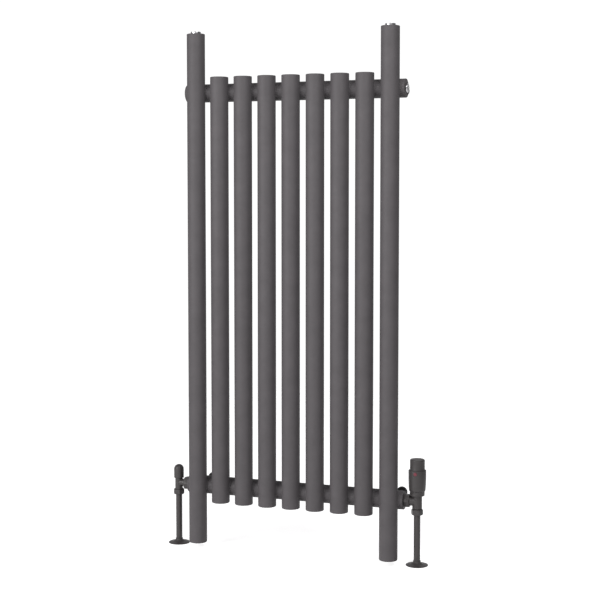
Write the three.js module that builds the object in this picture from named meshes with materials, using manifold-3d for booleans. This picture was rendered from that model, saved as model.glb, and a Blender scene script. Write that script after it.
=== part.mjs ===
// Wall-hung round-tube radiator with a thermostatic valve on the right and a lockshield valve on the left.
// Millimetres. +X runs along the radiator, the wall is the plane Y = 0 and the room is towards -Y,
// the finished floor is Z = 0. The origin lies on the wall and the floor, at the radiator's centre line.

import * as THREE from 'three';
import { mergeVertices } from 'three/addons/utils/BufferGeometryUtils.js';
import Module from 'manifold-3d';

const wasm = await Module();
wasm.setup();

// ---------------------------------------------------------------- driving dimensions

const gap = 0.3; // clearance between pieces that rest on or fit round each other
const over = 1; // how far a cutting tool reaches past the surface that it opens

// Tubes and headers
const tubeRadius = 21.2; // 42.4 mm steel tube
const tubeWall = 1.5;
const tubePitch = 58.8;
const innerTubeCount = 7;
const postLength = 1200;
const innerTubeLength = 999;
const capThickness = 3;
const postTopThickness = 9;
const headerRadius = 21.2;
const headerWall = 2;
const headerLength = 532;
const portRadius = 7;
const headerBossLength = 14;
const headerBossBore = 10.2; // half-inch threads, drawn smooth

// Where the rows of pieces lie
const floorToPost = 13;
const postToInnerTube = 100;
const postToLowerHeader = 134;
const headerSpacing = 930;
const wallToTubeAxis = 105;
const tubeToHeaderAxis = 24;
const pipeSpacing = 592;

const tubeY = -wallToTubeAxis;
const headerY = tubeY + tubeToHeaderAxis;
const postX = tubePitch * (innerTubeCount + 1) / 2;
const lowerHeaderZ = floorToPost + postToLowerHeader;
const upperHeaderZ = lowerHeaderZ + headerSpacing;
const innerTubeZ = floorToPost + postToInnerTube;
const headerEndX = headerLength / 2;
const headerInPostY = tubeToHeaderAxis;

// Wall fixings
const fixingX = 239;
const rosetteRadius = 12.8;
const rosetteThickness = 8;
const rosetteEdge = 1.5;
const stemRadius = 6;
const lugRadius = 9;
const lugLength = 15;
const stemInLug = 11; // how far the stem goes into the lug
const lugFloor = 3;
const lugIntoHeader = 4; // the lug's saddle reaches round the header's back
const wallScrewRadius = 4;
const wallScrewDepth = 12;
const grubRadius = 2.5;
const grubHex = 2.5;
const grubFromLugEnd = 5;

// Plugs
const plugRadius = 12;
const plugHeight = 5;
const plugWellRadius = 7.5;
const plugWellFloor = 2.8;
const plugChamfer = 0.6;
const plugTeeth = 8;
const plugSlotWidth = 2.5;
const plugSpigotRadius = 8.2;
const plugSpigotDepth = 8;
const endPlugDepth = 12;
const ventFlangeRadius = 10.4;
const ventProud = 4.5;
const ventChamfer = 1;
const ventHole = 1.2;
const bleedRadius = 3;
const bleedDepth = 8;
const bleedConeTop = 5.8;
const bleedProud = 0.3;
const bleedSlotWidth = 0.9;
const bleedSlotDepth = 1.9;
const blindSocketHex = 10;
const blindSocketDepth = 6;

// Both valves: heights above the floor, radii from the valve's own axis
const pipeRadius = 7.5;
const pipeWall = 1;
const roseRadius = 25.5;
const roseHeight = 10.5;
const roseRim = 1.2;
const roseWall = 1;
const nutHex = 24; // compression nut, across flats
const nutLip = 3;
const nutThread = 9.9;
const nutChamfer = 2.6;
const tailRadius = 9.6; // threaded lower end of a valve body, inside the compression nut
const tailAboveNutLow = 5.5;
const unionHex = 27; // union nut, across flats
const unionThread = 12;
const unionLip = 1.7;
const unionChamfer = 1.6;
const flangeRadius = 11.6;
const flangeThickness = 2.2;
const tailBore = 7;
const tailPastBoss = 2;
const valveToHeader = pipeSpacing / 2 - headerEndX;
const unionNear = valveToHeader - 13.5; // union nut's end towards the valve
const unionFar = valveToHeader - 0.5; // union nut's end towards the radiator
const portZ = lowerHeaderZ;
const seatZ = 141;

// Thermostatic valve
const trvNutLow = 116;
const trvNutHigh = 129;
const trvPipeTop = 134;
const trvBodyRadius = 11.15;
const trvCollarLow = 160.8;
const trvCollarRadius = 14.4;
const trvBodyTop = 167;
const trvBranchRadius = 11;
const trvBranchBore = 6;
const trvSeatRadius = 5.5;
const trvChamberRadius = 8.4;
const insertLow = 157;
const insertRadius = 9;
const insertThread = 9.3;
const insertFloor = 164;
const insertGuideRadius = 5.3;
const pinRadius = 2;
const pinDiscRadius = 6.8;
const pinLow = 143.5;
const pinButtonRadius = 4.6;
const pinButtonLow = 173;
const pinTop = 176;
const springRadius = 3.7;
const springWire = 0.45;
const springTurns = 4;
const ringNutRadius = 16.9;
const ringNutLow = 160.5;
const ringNutHigh = 170.3;
const ringNutLip = 12.4;
const sleeveFlangeRadius = 13.8;
const sleeveThroat = 10.5;
const sleeveLow = 170.6;
const sleeveHigh = 218.5;
const sleeveRadius = 20.05;
const sleeveBore = 17.4;
const handwheelRadius = 16.9;
const handwheelBore = 14.2;
const handwheelLow = 186;
const handwheelTop = 243;
const sensorRadius = 10;
const sensorLow = 176.3;
const sensorTop = 229;
const dotRadius = 4;
const dotZ = 212;
const dotSeat = 18.7; // the dot's inner face, from the valve's axis

// Lockshield valve
const lockNutLow = 119;
const lockNutHigh = 131;
const lockPipeTop = 136.5;
const lockBodyRadius = 9;
const lockNeckRadius = 8.4;
const lockBodyTop = 172;
const lockBranchRadius = 8.7;
const lockBranchBore = 5.2;
const lockSeatRadius = 5;
const lockChamberRadius = 6.6;
const bonnetLow = 158;
const bonnetRadius = 6;
const capLow = 158.5;
const capHigh = 191;
const capRadius = 11.75;
const capWall = 2.65;
const spindleRadius = 3;
const spindleTop = 178;
const spindleSlot = 1.2;

// Facets round a full turn
const roundFine = 20;
const roundMedium = 16;
const roundCoarse = 10;

// ---------------------------------------------------------------- materials

const paint = () => new THREE.MeshStandardMaterial({ color: 0x5f5b5d, roughness: 0.5, metalness: 0.1 });
const darkPaint = () => new THREE.MeshStandardMaterial({ color: 0x2b2a2a, roughness: 0.6, metalness: 0.1 });
const chrome = () => new THREE.MeshStandardMaterial({ color: 0xd8d8d8, roughness: 0.15, metalness: 1 });
const brass = () => new THREE.MeshStandardMaterial({ color: 0xb8954c, roughness: 0.35, metalness: 1 });
const steel = () => new THREE.MeshStandardMaterial({ color: 0xa8a9ab, roughness: 0.35, metalness: 1 });
const headPlastic = () => new THREE.MeshStandardMaterial({ color: 0x4b4948, roughness: 0.55, metalness: 0 });
const sensorPlastic = () => new THREE.MeshStandardMaterial({ color: 0xe4e2dc, roughness: 0.5, metalness: 0 });
const redPlastic = () => new THREE.MeshStandardMaterial({ color: 0x8c2030, roughness: 0.4, metalness: 0 });

// ---------------------------------------------------------------- solid helpers

// Signed volume of a closed indexed mesh: negative when its faces point inwards.
function signedVolume(geometry) {
  const index = geometry.getIndex();
  const position = geometry.getAttribute('position');
  const [a, b, c] = [new THREE.Vector3(), new THREE.Vector3(), new THREE.Vector3()];
  let sum = 0;
  for (let i = 0; i < index.count; i += 3) {
    a.fromBufferAttribute(position, index.getX(i));
    b.fromBufferAttribute(position, index.getX(i + 1));
    c.fromBufferAttribute(position, index.getX(i + 2));
    sum += a.dot(b.cross(c));
  }
  return sum / 6;
}

// A closed mesh with shared vertices, no degenerate triangles and its faces pointing out.
function closed(geometry) {
  geometry.deleteAttribute('normal');
  geometry.deleteAttribute('uv');
  const merged = mergeVertices(geometry);
  const source = Array.from(merged.getIndex().array);
  const flip = signedVolume(merged) < 0;
  const kept = [];
  for (let i = 0; i < source.length; i += 3) {
    const [a, b, c] = source.slice(i, i + 3);
    if (a === b || b === c || c === a) continue;
    kept.push(a, flip ? c : b, flip ? b : c);
  }
  merged.setIndex(kept);
  return merged;
}

function toSolid(geometry) {
  const shape = closed(geometry);
  const vertProperties = new Float32Array(shape.getAttribute('position').array);
  const triVerts = new Uint32Array(shape.getIndex().array);
  return new wasm.Manifold(new wasm.Mesh({ numProp: 3, vertProperties, triVerts }));
}

function toGeometry(solid) {
  const mesh = solid.getMesh();
  const geometry = new THREE.BufferGeometry();
  geometry.setAttribute('position', new THREE.BufferAttribute(mesh.vertProperties, mesh.numProp));
  geometry.setIndex(new THREE.BufferAttribute(mesh.triVerts, 1));
  return geometry;
}

const cut = (base, ...tools) => tools.reduce((left, tool) => left.subtract(tool), base);
const join = (base, ...others) => others.reduce((sum, other) => sum.add(other), base);

// A solid of revolution about Z. Each point is [radius, height].
function turned(points, segments = roundMedium) {
  const profile = points.map(([radius, height]) => new THREE.Vector2(radius, height));
  const geometry = new THREE.LatheGeometry(profile, segments);
  geometry.rotateX(Math.PI / 2);
  return toSolid(geometry);
}

// A ring of revolution about Z, whose outline closes on itself.
const turnedRing = (points, segments) => turned([...points, points[0]], segments);

// A round bar along an axis, between two positions on it.
function bar(axis, radius, low, high, segments = roundMedium) {
  const geometry = new THREE.CylinderGeometry(radius, radius, high - low, segments);
  geometry.translate(0, (low + high) / 2, 0);
  if (axis === 'z') geometry.rotateX(Math.PI / 2);
  if (axis === 'x') geometry.rotateZ(-Math.PI / 2);
  return toSolid(geometry);
}

function block(size, centre) {
  const geometry = new THREE.BoxGeometry(...size);
  geometry.translate(...centre);
  return toSolid(geometry);
}

// A hexagonal bar along Z with its corners rounded off at both ends, as on a turned nut.
function hexBar(acrossFlats, low, high, chamfer) {
  const cornerTrim = 0.4;
  const corner = acrossFlats / Math.sqrt(3);
  const outline = new THREE.Shape();
  for (let i = 0; i < 6; i += 1) {
    const angle = i * Math.PI / 3;
    const point = [corner * Math.cos(angle), corner * Math.sin(angle)];
    if (i === 0) outline.moveTo(...point);
    else outline.lineTo(...point);
  }
  const geometry = new THREE.ExtrudeGeometry(outline, { depth: high - low, bevelEnabled: false });
  geometry.translate(0, 0, low);
  const middle = corner - cornerTrim;
  const rim = acrossFlats / 2 - chamfer / 2;
  const envelope = turned([[0, low], [rim, low], [middle, low + chamfer], [middle, high - chamfer],
    [rim, high], [0, high]], roundMedium);
  return toSolid(geometry).intersect(envelope);
}

function named(name, material, solid) {
  const mesh = new THREE.Mesh(toGeometry(solid), material);
  mesh.name = name;
  return mesh;
}

// ---------------------------------------------------------------- radiator body

// A closed tube standing on Z = 0, saddle-notched where the two headers pass behind it.
function standingTube(length, base, topThickness, topBore) {
  const inner = tubeRadius - tubeWall;
  const outside = bar('z', tubeRadius, 0, length, roundFine);
  const hollow = bar('z', inner, capThickness, length - topThickness, roundFine);
  const saddles = [lowerHeaderZ, upperHeaderZ].map((height) => {
    const saddle = bar('x', headerRadius + gap, -tubeRadius - over, tubeRadius + over, roundFine);
    return saddle.translate([0, headerInPostY, height - base]);
  });
  const shell = cut(outside, hollow, ...saddles);
  if (topBore === 0) return shell;
  return cut(shell, bar('z', topBore, length - topThickness - over, length + over));
}

function addTubes(group) {
  for (const [side, name] of [[-1, 'post_left'], [1, 'post_right']]) {
    const solid = standingTube(postLength, floorToPost, postTopThickness, plugSpigotRadius + gap);
    const post = named(name, paint(), solid);
    post.position.set(side * postX, tubeY, floorToPost);
    group.add(post);
  }
  for (let i = 1; i <= innerTubeCount; i += 1) {
    const tube = named(`tube_${i}`, paint(), standingTube(innerTubeLength, innerTubeZ, capThickness, 0));
    tube.position.set((i - (innerTubeCount + 1) / 2) * tubePitch, tubeY, innerTubeZ);
    group.add(tube);
  }
}

// A header tube with one water port under each standing tube.
function headerSolid() {
  const shell = cut(bar('x', headerRadius, -headerEndX, headerEndX, roundFine),
    bar('x', headerRadius - headerWall, -headerEndX - over, headerEndX + over, roundFine));
  const ports = [];
  for (let i = 0; i < innerTubeCount + 2; i += 1) {
    const x = i * tubePitch - postX;
    ports.push(bar('y', portRadius, -headerRadius - over, 0, roundCoarse).translate([x, 0, 0]));
  }
  return cut(shell, ...ports);
}

function headerBossSolid() {
  const outer = headerRadius - headerWall - gap;
  return turnedRing([[headerBossBore, 0], [outer, 0], [outer, headerBossLength],
    [headerBossBore, headerBossLength]]);
}

function addHeaders(group) {
  for (const [level, height] of [['lower', lowerHeaderZ], ['upper', upperHeaderZ]]) {
    const header = named(`header_${level}`, paint(), headerSolid());
    header.position.set(0, headerY, height);
    group.add(header);
    for (const [side, name] of [[-1, 'left'], [1, 'right']]) {
      const boss = named(`end_boss_${level}_${name}`, paint(), headerBossSolid());
      boss.rotation.y = -side * Math.PI / 2;
      boss.position.set(side * headerEndX, headerY, height);
      group.add(boss);
    }
  }
}

// ---------------------------------------------------------------- plugs

// Castellated plug on top of a post, standing on Z = 0 with its threaded spigot below.
function postPlugSolid() {
  const body = turned([[0, -plugSpigotDepth], [plugSpigotRadius, -plugSpigotDepth],
    [plugSpigotRadius, gap], [plugRadius, gap], [plugRadius, plugHeight - plugChamfer],
    [plugRadius - plugChamfer, plugHeight], [plugWellRadius, plugHeight],
    [plugWellRadius, plugWellFloor], [0, plugWellFloor]]);
  const slotLength = 2 * (plugRadius + over);
  const slots = [];
  for (let i = 0; i < plugTeeth / 2; i += 1) {
    const slot = block([slotLength, plugSlotWidth, plugHeight], [0, 0, plugWellFloor + plugHeight / 2]);
    slots.push(slot.rotate([0, 0, i * 360 / plugTeeth]));
  }
  return cut(body, ...slots);
}

// Air-vent plug: local Z points out of the header end, and the bleed screw sits in its middle.
function ventPlugSolid() {
  const bore = bleedRadius + gap / 3;
  const shank = headerBossBore - gap;
  const seat = -bleedConeTop - gap;
  const depth = -endPlugDepth - over;
  return turnedRing([[ventHole, depth], [shank, depth], [shank, gap], [ventFlangeRadius, gap],
    [ventFlangeRadius, ventProud - ventChamfer], [ventFlangeRadius - ventChamfer, ventProud],
    [bore, ventProud], [bore, seat], [ventHole, -bleedDepth - over]]);
}

function bleedScrewSolid() {
  const headTop = ventProud + bleedProud;
  const edge = 0.4;
  const screw = turned([[0, -bleedDepth], [bleedRadius, -bleedConeTop], [bleedRadius, headTop - edge],
    [bleedRadius - edge, headTop], [0, headTop]], roundCoarse);
  const slotLength = 2 * (bleedRadius + over);
  return cut(screw, block([slotLength, bleedSlotWidth, 2 * bleedSlotDepth], [0, 0, headTop]));
}

function blindPlugSolid() {
  const radius = headerBossBore - gap;
  const plug = turned([[0, -endPlugDepth], [radius, -endPlugDepth], [radius, 0], [0, 0]]);
  return cut(plug, hexBar(blindSocketHex, -blindSocketDepth, over, gap));
}

function addPlugs(group) {
  for (const [side, name] of [[-1, 'left'], [1, 'right']]) {
    const plug = named(`post_plug_${name}`, chrome(), postPlugSolid());
    plug.position.set(side * postX, tubeY, floorToPost + postLength);
    group.add(plug);
  }
  const ventEnd = new THREE.Group();
  ventEnd.position.set(headerEndX, headerY, upperHeaderZ);
  ventEnd.rotation.y = Math.PI / 2;
  ventEnd.add(named('vent_plug', chrome(), ventPlugSolid()));
  ventEnd.add(named('bleed_screw', chrome(), bleedScrewSolid()));
  const blind = named('blind_plug', paint(), blindPlugSolid());
  blind.position.set(-headerEndX, headerY, upperHeaderZ);
  blind.rotation.y = -Math.PI / 2;
  group.add(ventEnd, blind);
}

// ---------------------------------------------------------------- wall fixings

// Local frame: origin on the wall behind a header, -Y towards the room.
const lugBack = headerY + headerRadius;

function rosetteSolid() {
  const stemEnd = lugBack + lugLength - stemInLug;
  const stem = bar('y', stemRadius, stemEnd, over - rosetteThickness, roundCoarse);
  const disc = turned([[0, 0], [rosetteRadius, 0], [rosetteRadius, rosetteThickness - rosetteEdge],
    [rosetteRadius - rosetteEdge, rosetteThickness], [0, rosetteThickness]]).rotate([90, 0, 0]);
  const hole = bar('y', wallScrewRadius, -wallScrewDepth, over, roundCoarse);
  return cut(join(disc, stem), hole);
}

function lugSolid() {
  const end = lugBack + lugLength;
  const socket = bar('y', stemRadius + gap, lugBack + lugFloor, end + over, roundCoarse);
  const saddle = bar('x', headerRadius + gap, -lugRadius - over, lugRadius + over, roundFine);
  const lug = cut(bar('y', lugRadius, lugBack - lugIntoHeader, end), socket,
    saddle.translate([0, headerY, 0]));
  const screwHole = bar('z', grubRadius + gap, -lugRadius - over, 0, roundCoarse);
  return cut(lug, screwHole.translate([0, end - grubFromLugEnd, 0]));
}

function grubScrewSolid() {
  const low = -lugRadius - gap;
  const socketDepth = 2;
  const grub = bar('z', grubRadius, low, -stemRadius - gap, roundCoarse);
  return cut(grub, hexBar(grubHex, low - over, low + socketDepth, gap / 3));
}

function addWallFixings(group) {
  for (const [level, height] of [['lower', lowerHeaderZ], ['upper', upperHeaderZ]]) {
    for (const [side, name] of [[-1, 'left'], [1, 'right']]) {
      const fixing = new THREE.Group();
      fixing.position.set(side * fixingX, 0, height);
      const grub = named(`fixing_screw_${level}_${name}`, steel(), grubScrewSolid());
      grub.position.y = lugBack + lugLength - grubFromLugEnd;
      fixing.add(named(`wall_stem_${level}_${name}`, darkPaint(), rosetteSolid()));
      fixing.add(named(`wall_lug_${level}_${name}`, paint(), lugSolid()));
      fixing.add(grub);
      group.add(fixing);
    }
  }
}

// ---------------------------------------------------------------- pieces that both valves have

// Local frame of a valve: the pipe's axis is Z, the floor is Z = 0, the radiator is towards -X.

function pipeSolid(top) {
  const inner = pipeRadius - pipeWall;
  return turnedRing([[inner, 0], [pipeRadius, 0], [pipeRadius, top], [inner, top]]);
}

// Thin domed cover on the floor, with a short neck that slides on the pipe.
function roseSolid() {
  const bore = pipeRadius + gap;
  const neck = bore + roseWall;
  const shoulder = neck + 6;
  const outside = [[neck, roseHeight], [neck, 7.2], [neck + 1.3, 5], [shoulder, 3.2],
    [roseRadius - 5, 2], [roseRadius, roseRim]];
  const inside = [[roseRadius, 0], [roseRadius - 2, 0], [roseRadius - 6, 0.8], [shoulder, 2]];
  return turnedRing([[bore, 3], [bore, roseHeight], ...outside, ...inside], roundFine);
}

function compressionNutSolid(low, high) {
  const lip = low + nutLip;
  const entry = pipeRadius + gap;
  const bore = turned([[0, low - over], [entry, low - over], [entry, lip], [nutThread, lip],
    [nutThread, high + over], [0, high + over]]);
  return cut(hexBar(nutHex, low, high, nutChamfer), bore);
}

// Soft brass ring squeezed between the nut's lip and the end of the valve body.
function oliveSolid(nutLow) {
  const low = nutLow + nutLip + gap;
  const bore = pipeRadius + 0.2;
  const width = 1.6;
  const middle = bore + 1.9;
  const edge = bore + 0.9;
  return turnedRing([[bore, low], [edge, low], [middle, low + width / 2], [edge, low + width],
    [bore, low + width]]);
}

// Union nut and tail are drawn along Z and then turned to point at the radiator.
function unionNutSolid() {
  const lip = unionFar - unionLip;
  const bore = turned([[0, unionNear - over], [unionThread, unionNear - over], [unionThread, lip],
    [headerBossBore, lip], [headerBossBore, unionFar + over], [0, unionFar + over]]);
  const flatUp = 30;
  return cut(hexBar(unionHex, unionNear, unionFar, unionChamfer).rotate([0, 0, flatUp]), bore);
}

function tailSolid() {
  const shank = headerBossBore - gap;
  const flange = unionFar - unionLip - gap;
  const end = valveToHeader + headerBossLength + tailPastBoss;
  return turnedRing([[tailBore, flange - flangeThickness], [flangeRadius, flange - flangeThickness],
    [flangeRadius, flange], [shank, flange], [shank, end], [tailBore, end]]);
}

// The valve's side branch: a neck, then the thread that the union nut screws onto.
function branchSolid(neckRadius) {
  const end = unionFar - unionLip - flangeThickness - 2 * gap;
  const threadStart = unionNear + 0.8;
  const thread = unionThread - gap;
  return turned([[0, 0], [neckRadius, 0], [neckRadius, threadStart], [thread, threadStart],
    [thread, end], [0, end]]).rotate([0, -90, 0]).translate([0, 0, portZ]);
}

const branchBore = (radius) => bar('x', radius, -unionFar, 0, roundCoarse).translate([0, 0, portZ]);

function turnedToRadiator(mesh) {
  mesh.rotation.y = -Math.PI / 2;
  mesh.position.z = portZ;
  return mesh;
}

function addCommonPieces(valve, prefix, nutLow, nutHigh, pipeTop) {
  valve.add(named(`${prefix}_pipe`, paint(), pipeSolid(pipeTop)));
  valve.add(named(`${prefix}_rose`, paint(), roseSolid()));
  valve.add(named(`${prefix}_compression_nut`, paint(), compressionNutSolid(nutLow, nutHigh)));
  valve.add(named(`${prefix}_olive`, brass(), oliveSolid(nutLow)));
  valve.add(turnedToRadiator(named(`${prefix}_union_nut`, paint(), unionNutSolid())));
  valve.add(turnedToRadiator(named(`${prefix}_tail`, brass(), tailSolid())));
}

// ---------------------------------------------------------------- thermostatic valve

function trvBodySolid() {
  const tailLow = trvNutLow + tailAboveNutLow;
  const outside = turned([[0, tailLow], [tailRadius, tailLow], [tailRadius, trvNutHigh + 2 * gap],
    [trvBodyRadius, trvNutHigh + tailRadius / 6], [trvBodyRadius, trvCollarLow],
    [trvCollarRadius, trvCollarLow + gap], [trvCollarRadius, trvBodyTop], [0, trvBodyTop]]);
  const entry = pipeRadius + gap;
  const pipeStop = trvPipeTop + gap;
  const waterway = turned([[0, tailLow - over], [entry, tailLow - over], [entry, pipeStop],
    [trvSeatRadius, pipeStop], [trvSeatRadius, seatZ], [trvChamberRadius, seatZ + 1],
    [trvChamberRadius, insertLow], [insertThread, insertLow], [insertThread, trvBodyTop + over],
    [0, trvBodyTop + over]]);
  return cut(join(outside, branchSolid(trvBranchRadius)), waterway, branchBore(trvBranchBore));
}

// Cartridge screwed into the body: it guides the pin and holds the return spring.
function trvInsertSolid() {
  const bore = pinRadius + gap / 3;
  const low = insertLow + gap;
  const hexRadius = 9.9;
  const hexLow = trvBodyTop + gap;
  const hexHigh = hexLow + 2.7;
  const guideHigh = hexHigh + 2.5;
  return turnedRing([[bore, low], [insertRadius, low], [insertRadius, hexLow], [hexRadius, hexLow],
    [hexRadius, hexHigh], [7, hexHigh], [7, guideHigh], [insertGuideRadius, guideHigh],
    [insertGuideRadius, insertFloor], [bore, insertFloor]]);
}

// Pin with the valve disc at its foot and the button that the sensor presses.
function trvPinSolid() {
  const discThickness = 3;
  const edge = 0.6;
  return turned([[0, pinLow], [pinDiscRadius, pinLow], [pinDiscRadius, pinLow + discThickness],
    [pinRadius, pinLow + discThickness], [pinRadius, pinButtonLow], [pinButtonRadius, pinButtonLow],
    [pinButtonRadius, pinTop - edge], [pinButtonRadius - edge, pinTop], [0, pinTop]], roundCoarse);
}

// Return spring round the pin, from the cartridge's floor to the pin's button.
function trvSpringGeometry() {
  const low = insertFloor + gap + springWire;
  const high = pinButtonLow - gap - springWire;
  const pointsPerTurn = 12;
  const count = springTurns * pointsPerTurn;
  const points = [];
  for (let i = 0; i <= count; i += 1) {
    const angle = 2 * Math.PI * i / pointsPerTurn;
    const height = low + (high - low) * i / count;
    points.push(new THREE.Vector3(springRadius * Math.cos(angle), springRadius * Math.sin(angle), height));
  }
  const wire = new THREE.Shape();
  wire.absarc(0, 0, springWire, 0, 2 * Math.PI, false);
  const path = new THREE.CatmullRomCurve3(points);
  const steps = springTurns * 10;
  return new THREE.ExtrudeGeometry(wire, { steps, curveSegments: 3, extrudePath: path });
}

// Wax capsule: its foot presses on the pin, its threaded rim is driven by the handwheel.
function trvSensorSolid() {
  const foot = 4;
  const shoulderLow = 180;
  const neck = 9;
  const rimLow = 190;
  const rimHigh = 196;
  const rim = handwheelBore - 0.4;
  const dome = 3;
  return turned([[0, sensorLow], [foot, sensorLow], [foot, shoulderLow], [neck, shoulderLow],
    [neck, rimLow], [rim, rimLow], [rim, rimHigh], [sensorRadius, rimHigh],
    [sensorRadius, sensorTop - dome], [sensorRadius - 2, sensorTop], [0, sensorTop]]);
}

// Fixed lower half of the head, clamped to the body by the ring nut under it.
function trvSleeveSolid() {
  const flangeLow = trvBodyTop + gap;
  const flangeHigh = flangeLow + 1.3;
  const waist = ringNutLip - 0.4;
  const edge = 0.8;
  const belly = [[17.6, sleeveLow], [18.6, 172], [19.3, 180], [19.75, 190], [sleeveRadius, 202]];
  const pocketInside = [[sleeveBore, 184], [12.5, 181], [sleeveThroat, 178]];
  const shell = turnedRing([[sleeveThroat, flangeLow], [sleeveFlangeRadius, flangeLow],
    [sleeveFlangeRadius, flangeHigh], [waist, flangeHigh], [waist, sleeveLow], ...belly,
    [sleeveRadius, sleeveHigh - edge], [sleeveRadius - edge, sleeveHigh], [sleeveBore, sleeveHigh],
    ...pocketInside], roundFine);
  const dotHole = bar('y', dotRadius + gap, -sleeveRadius - over, gap - dotSeat, roundCoarse);
  return cut(shell, dotHole.translate([0, 0, dotZ]));
}

function trvRingNutSolid() {
  const chamfer = 0.6;
  const bore = trvCollarRadius + 0.4;
  const lipLow = ringNutHigh - 1.4;
  return turnedRing([[bore, ringNutLow], [ringNutRadius - chamfer, ringNutLow],
    [ringNutRadius, ringNutLow + chamfer], [ringNutRadius, ringNutHigh - chamfer],
    [ringNutRadius - chamfer, ringNutHigh], [ringNutLip, ringNutHigh], [ringNutLip, lipLow],
    [bore, lipLow]], roundFine);
}

function trvHandwheelSolid() {
  const roof = 4;
  return turned([[0, handwheelTop - roof], [handwheelBore, handwheelTop - roof - 1],
    [handwheelBore, handwheelLow], [handwheelRadius, handwheelLow],
    [handwheelRadius, handwheelTop - 1.6], [handwheelRadius - 0.6, handwheelTop - 0.5],
    [handwheelRadius - 1.8, handwheelTop], [0, handwheelTop]], roundFine);
}

function addThermostaticValve(group) {
  const valve = new THREE.Group();
  valve.position.set(pipeSpacing / 2, headerY, 0);
  addCommonPieces(valve, 'trv', trvNutLow, trvNutHigh, trvPipeTop);
  valve.add(named('trv_body', paint(), trvBodySolid()));
  valve.add(named('trv_insert', brass(), trvInsertSolid()));
  valve.add(named('trv_pin', steel(), trvPinSolid()));
  const spring = new THREE.Mesh(closed(trvSpringGeometry()), steel());
  spring.name = 'trv_return_spring';
  valve.add(spring);
  valve.add(named('trv_sensor', sensorPlastic(), trvSensorSolid()));
  valve.add(named('trv_ring_nut', headPlastic(), trvRingNutSolid()));
  valve.add(named('trv_sleeve', headPlastic(), trvSleeveSolid()));
  valve.add(named('trv_handwheel', headPlastic(), trvHandwheelSolid()));
  const dot = bar('y', dotRadius, -sleeveRadius - gap / 3, -dotSeat, roundCoarse);
  valve.add(named('trv_index_dot', redPlastic(), dot.translate([0, 0, dotZ])));
  group.add(valve);
}

// ---------------------------------------------------------------- lockshield valve

function lockBodySolid() {
  const tailLow = lockNutLow + tailAboveNutLow;
  const shoulder = capLow - gap;
  const outside = turned([[0, tailLow], [tailRadius, tailLow], [tailRadius, lockNutHigh - gap],
    [lockBodyRadius, lockNutHigh], [lockBodyRadius, shoulder], [lockNeckRadius, shoulder],
    [lockNeckRadius, lockBodyTop], [0, lockBodyTop]]);
  const entry = pipeRadius + gap;
  const pipeStop = lockPipeTop + 0.5;
  const thread = bonnetRadius + gap;
  const waterway = turned([[0, tailLow - over], [entry, tailLow - over], [entry, pipeStop],
    [lockSeatRadius, pipeStop], [lockSeatRadius, seatZ], [lockChamberRadius, seatZ + 1],
    [lockChamberRadius, bonnetLow], [thread, bonnetLow], [thread, lockBodyTop + over],
    [0, lockBodyTop + over]]);
  return cut(join(outside, branchSolid(lockBranchRadius)), waterway, branchBore(lockBranchBore));
}

// Threaded bush in the top of the body, in which the spindle turns.
function lockBonnetSolid() {
  const bore = spindleRadius + gap / 3;
  const low = bonnetLow + gap;
  const high = lockBodyTop - 0.5;
  return turnedRing([[bore, low], [bonnetRadius, low], [bonnetRadius, high], [bore, high]]);
}

// Spindle with its cone-shaped stopper and a screwdriver slot on top.
function lockSpindleSolid() {
  const stopper = 5.6;
  const shaft = turned([[0, 143], [3.5, 143], [stopper, 146], [stopper, 150], [spindleRadius, 150],
    [spindleRadius, spindleTop], [0, spindleTop]], roundCoarse);
  const slotDepth = 2.5;
  const slot = block([spindleSlot, 2 * (spindleRadius + over), 2 * slotDepth], [0, 0, spindleTop]);
  return cut(shaft, slot);
}

// A quarter circle from the edge of a dome to its middle, as [radius, height] points.
function domeOutline(radius, top) {
  const steps = 5;
  const points = [];
  for (let i = 0; i <= steps; i += 1) {
    const angle = Math.PI * i / (2 * steps);
    points.push([i === steps ? 0 : radius * Math.cos(angle), top - radius * (1 - Math.sin(angle))]);
  }
  return points;
}

// Push-on cover: a hollow cap with a domed top.
function lockCapSolid() {
  const inner = capRadius - capWall;
  const edge = 0.8;
  return turned([...domeOutline(inner, capHigh - capWall).reverse(), [inner, capLow],
    [capRadius - edge, capLow], [capRadius, capLow + edge], ...domeOutline(capRadius, capHigh)]);
}

function addLockshieldValve(group) {
  const valve = new THREE.Group();
  valve.position.set(-pipeSpacing / 2, headerY, 0);
  valve.rotation.z = Math.PI;
  addCommonPieces(valve, 'lockshield', lockNutLow, lockNutHigh, lockPipeTop);
  valve.add(named('lockshield_body', paint(), lockBodySolid()));
  valve.add(named('lockshield_bonnet', brass(), lockBonnetSolid()));
  valve.add(named('lockshield_spindle', brass(), lockSpindleSolid()));
  valve.add(named('lockshield_cap', headPlastic(), lockCapSolid()));
  group.add(valve);
}

// ---------------------------------------------------------------- the whole radiator

const radiator = new THREE.Group();
addTubes(radiator);
addHeaders(radiator);
addPlugs(radiator);
addWallFixings(radiator);
addThermostaticValve(radiator);
addLockshieldValve(radiator);

export default radiator;
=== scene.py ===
import math

import bmesh
import bpy
from mathutils import Matrix, Vector


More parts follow.
